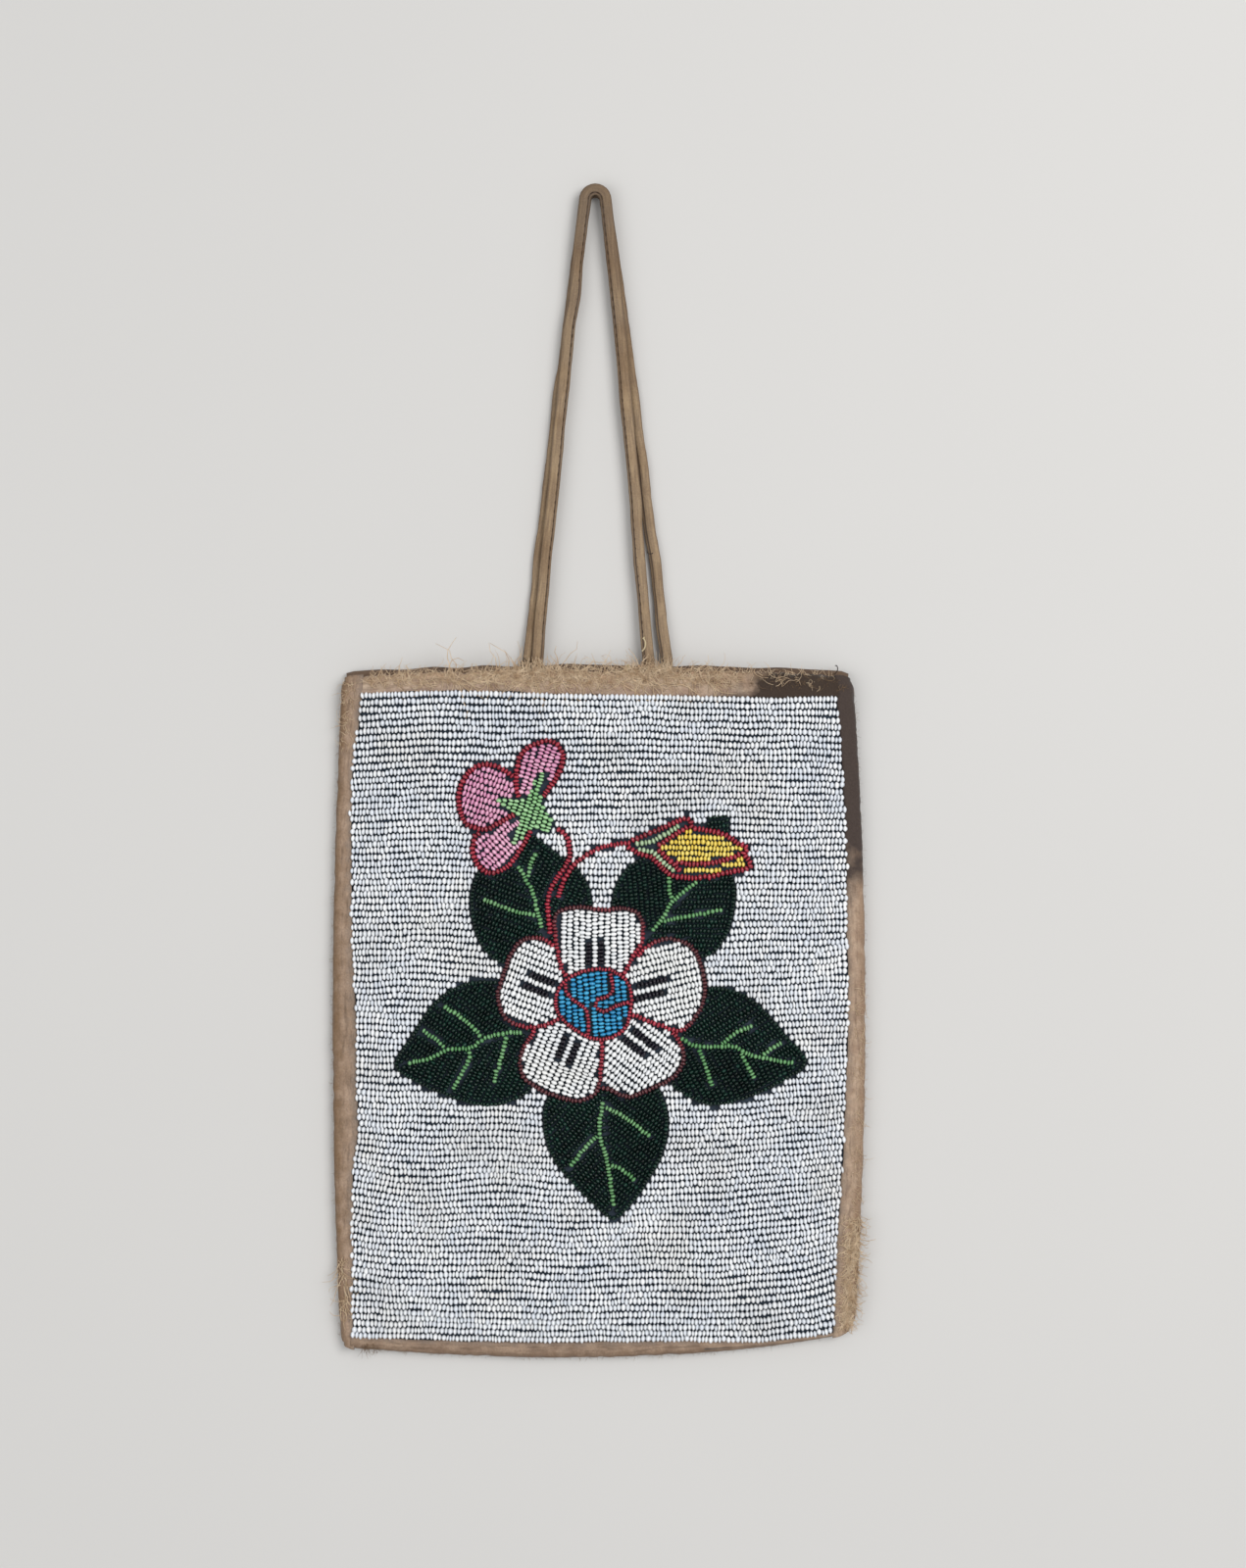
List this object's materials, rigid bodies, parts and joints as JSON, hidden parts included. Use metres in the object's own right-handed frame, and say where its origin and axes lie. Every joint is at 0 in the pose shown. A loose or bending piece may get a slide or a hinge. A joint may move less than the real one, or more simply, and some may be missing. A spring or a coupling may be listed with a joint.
{
  "type": "beaded bag",
  "caption": "Flat rectangular pouch lying on its back, its whole front covered in rows of seed beads with flowers and leaves, with narrow hide straps at its open top",
  "frame": {"origin": "the middle of the pouch, on the surface that its back lies on", "axes": "+X to the bag's right seen with the beads facing the viewer, +Y from the bottom seam to the straps, +Z out of the beadwork"},
  "size_m": [0.1784, 0.3912, 0.0105],
  "materials": {
    "suede": "brushed brown suede-like cloth, matt, darkened by wear",
    "red_beads": "translucent dark red glass seed beads",
    "yellow_beads": "opaque yellow glass seed beads",
    "pale_beads": "pale grey green glass seed beads",
    "blue_beads": "translucent turquoise glass seed beads",
    "ground_cloth": "dark navy cloth that shows between the rows of beads",
    "white_beads": "opaque bluish white glass seed beads in level rows",
    "green_beads": "very dark green glass seed beads",
    "vein_beads": "mid green glass seed beads",
    "cream_beads": "opaque creamy white glass seed beads",
    "calyx_beads": "light green opaque glass seed beads",
    "pink_beads": "opaque pink glass seed beads",
    "dark_beads": "nearly black glass seed beads",
    "hide": "narrow folded brown hide, matt with ochre streaks"
  },
  "bodies": {
    "root": {"back_panel": "suede", "binding_bottom": "suede", "binding_left": "suede", "binding_right": "suede", "bud_across": "red_beads", "bud_beads": "yellow_beads", "bud_calyx": "pale_beads", "bud_edge": "red_beads", "bud_inner": "red_beads", "centre_beads": "blue_beads", "centre_curl_left": "red_beads", "centre_curl_right": "red_beads", "centre_edge": "red_beads", "front_panel": "ground_cloth", "ground_beads": "white_beads", "ground_patch": "white_beads", "hem_front": "suede", "leaf_bottom_beads": "green_beads", "leaf_bottom_veins": "vein_beads", "leaf_left_beads": "green_beads", "leaf_left_veins": "vein_beads", "leaf_right_beads": "green_beads", "leaf_right_veins": "vein_beads", "leaf_tip_beads": "green_beads", "leaf_upper_left_beads": "green_beads", "leaf_upper_left_veins": "vein_beads", "leaf_upper_right_beads": "green_beads", "leaf_upper_right_veins": "vein_beads", "petal_left_beads": "cream_beads", "petal_left_edge": "red_beads", "petal_lower_left_beads": "cream_beads", "petal_lower_left_edge": "red_beads", "petal_lower_right_beads": "cream_beads", "petal_lower_right_edge": "red_beads", "petal_right_beads": "cream_beads", "petal_right_edge": "red_beads", "petal_top_beads": "cream_beads", "petal_top_edge": "red_beads", "pink_calyx": "calyx_beads", "pink_petal_lower_beads": "pink_beads", "pink_petal_lower_edge": "red_beads", "pink_petal_middle_beads": "pink_beads", "pink_petal_middle_edge": "red_beads", "pink_petal_upper_beads": "pink_beads", "pink_petal_upper_edge": "red_beads", "stamen_left_1": "dark_beads", "stamen_left_2": "dark_beads", "stamen_lower_left_1": "dark_beads", "stamen_lower_left_2": "dark_beads", "stamen_lower_right_1": "dark_beads", "stamen_lower_right_2": "dark_beads", "stamen_right_1": "dark_beads", "stamen_right_2": "dark_beads", "stamen_top_1": "dark_beads", "stamen_top_2": "dark_beads", "stem_left": "red_beads", "stem_right": "red_beads", "strap_back": "hide", "strap_front": "hide"}
  },
  "joints": []
}
